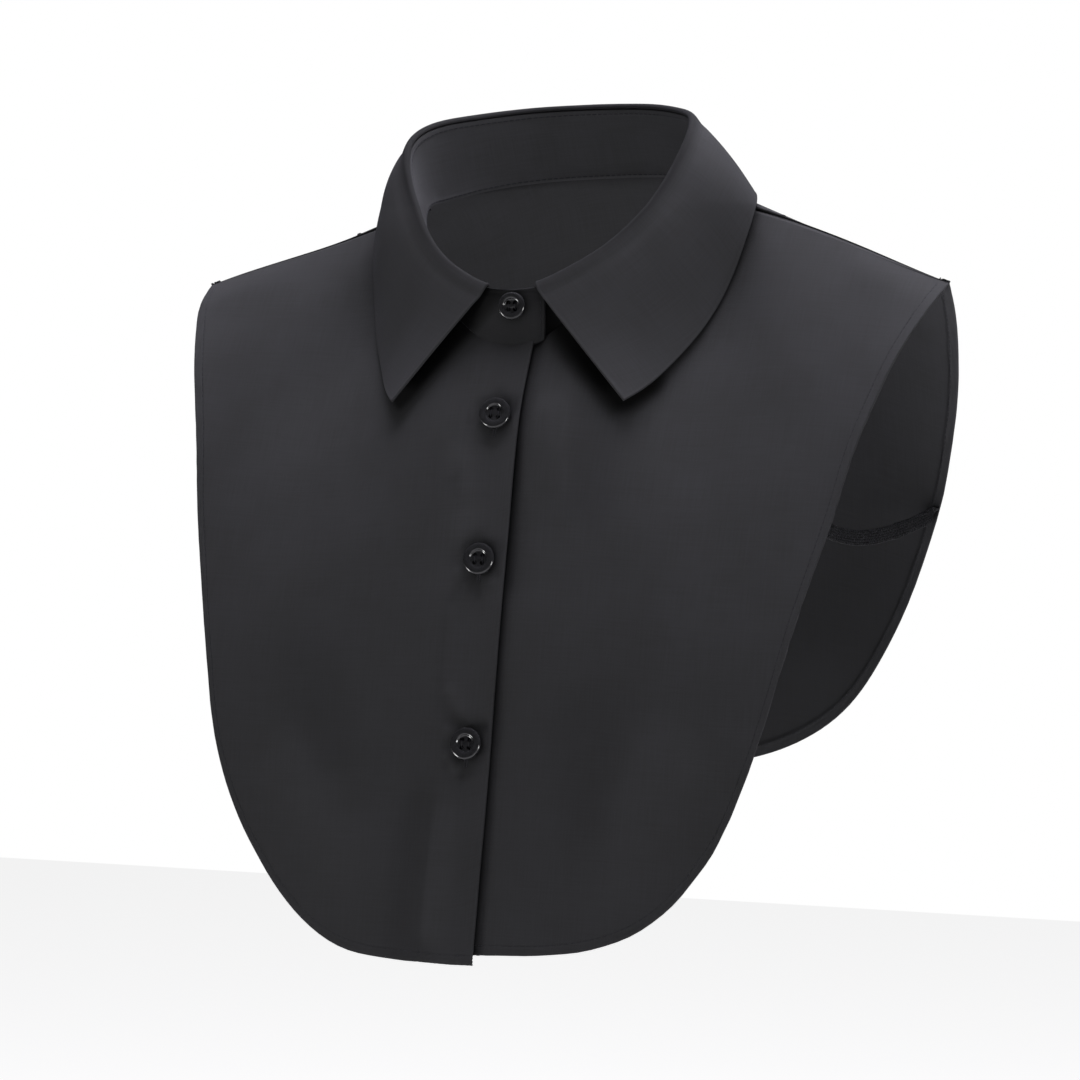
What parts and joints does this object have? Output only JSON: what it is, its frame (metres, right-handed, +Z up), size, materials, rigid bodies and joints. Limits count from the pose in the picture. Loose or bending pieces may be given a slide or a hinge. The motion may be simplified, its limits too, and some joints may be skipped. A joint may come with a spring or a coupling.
{
  "type": "detachable shirt collar",
  "caption": "Detachable black shirt collar: pointed fall on a stand, buttoned front bib with rounded hem, shorter back bib and elastic side straps, standing open as if worn.",
  "frame": {"origin": "middle of the neck opening at the level of the neck ends of the shoulder seams, where the wearer's neck holds the collar up", "axes": "+X to the wearer's left, +Y to the wearer's back, +Z up; the buttoned front faces -Y"},
  "size_m": [0.3376, 0.204, 0.3482],
  "materials": {
    "cloth": "black cotton shirting, plain weave",
    "elastic": "black ribbed braided elastic",
    "buttons": "polished black resin"
  },
  "bodies": {
    "root": {"front_right": "cloth", "front_left": "cloth", "back": "cloth", "collar_stand": "cloth", "collar_fall": "cloth", "elastic_left": "elastic", "elastic_right": "elastic", "button_1": "buttons", "button_2": "buttons", "button_3": "buttons", "button_4": "buttons"}
  },
  "joints": []
}
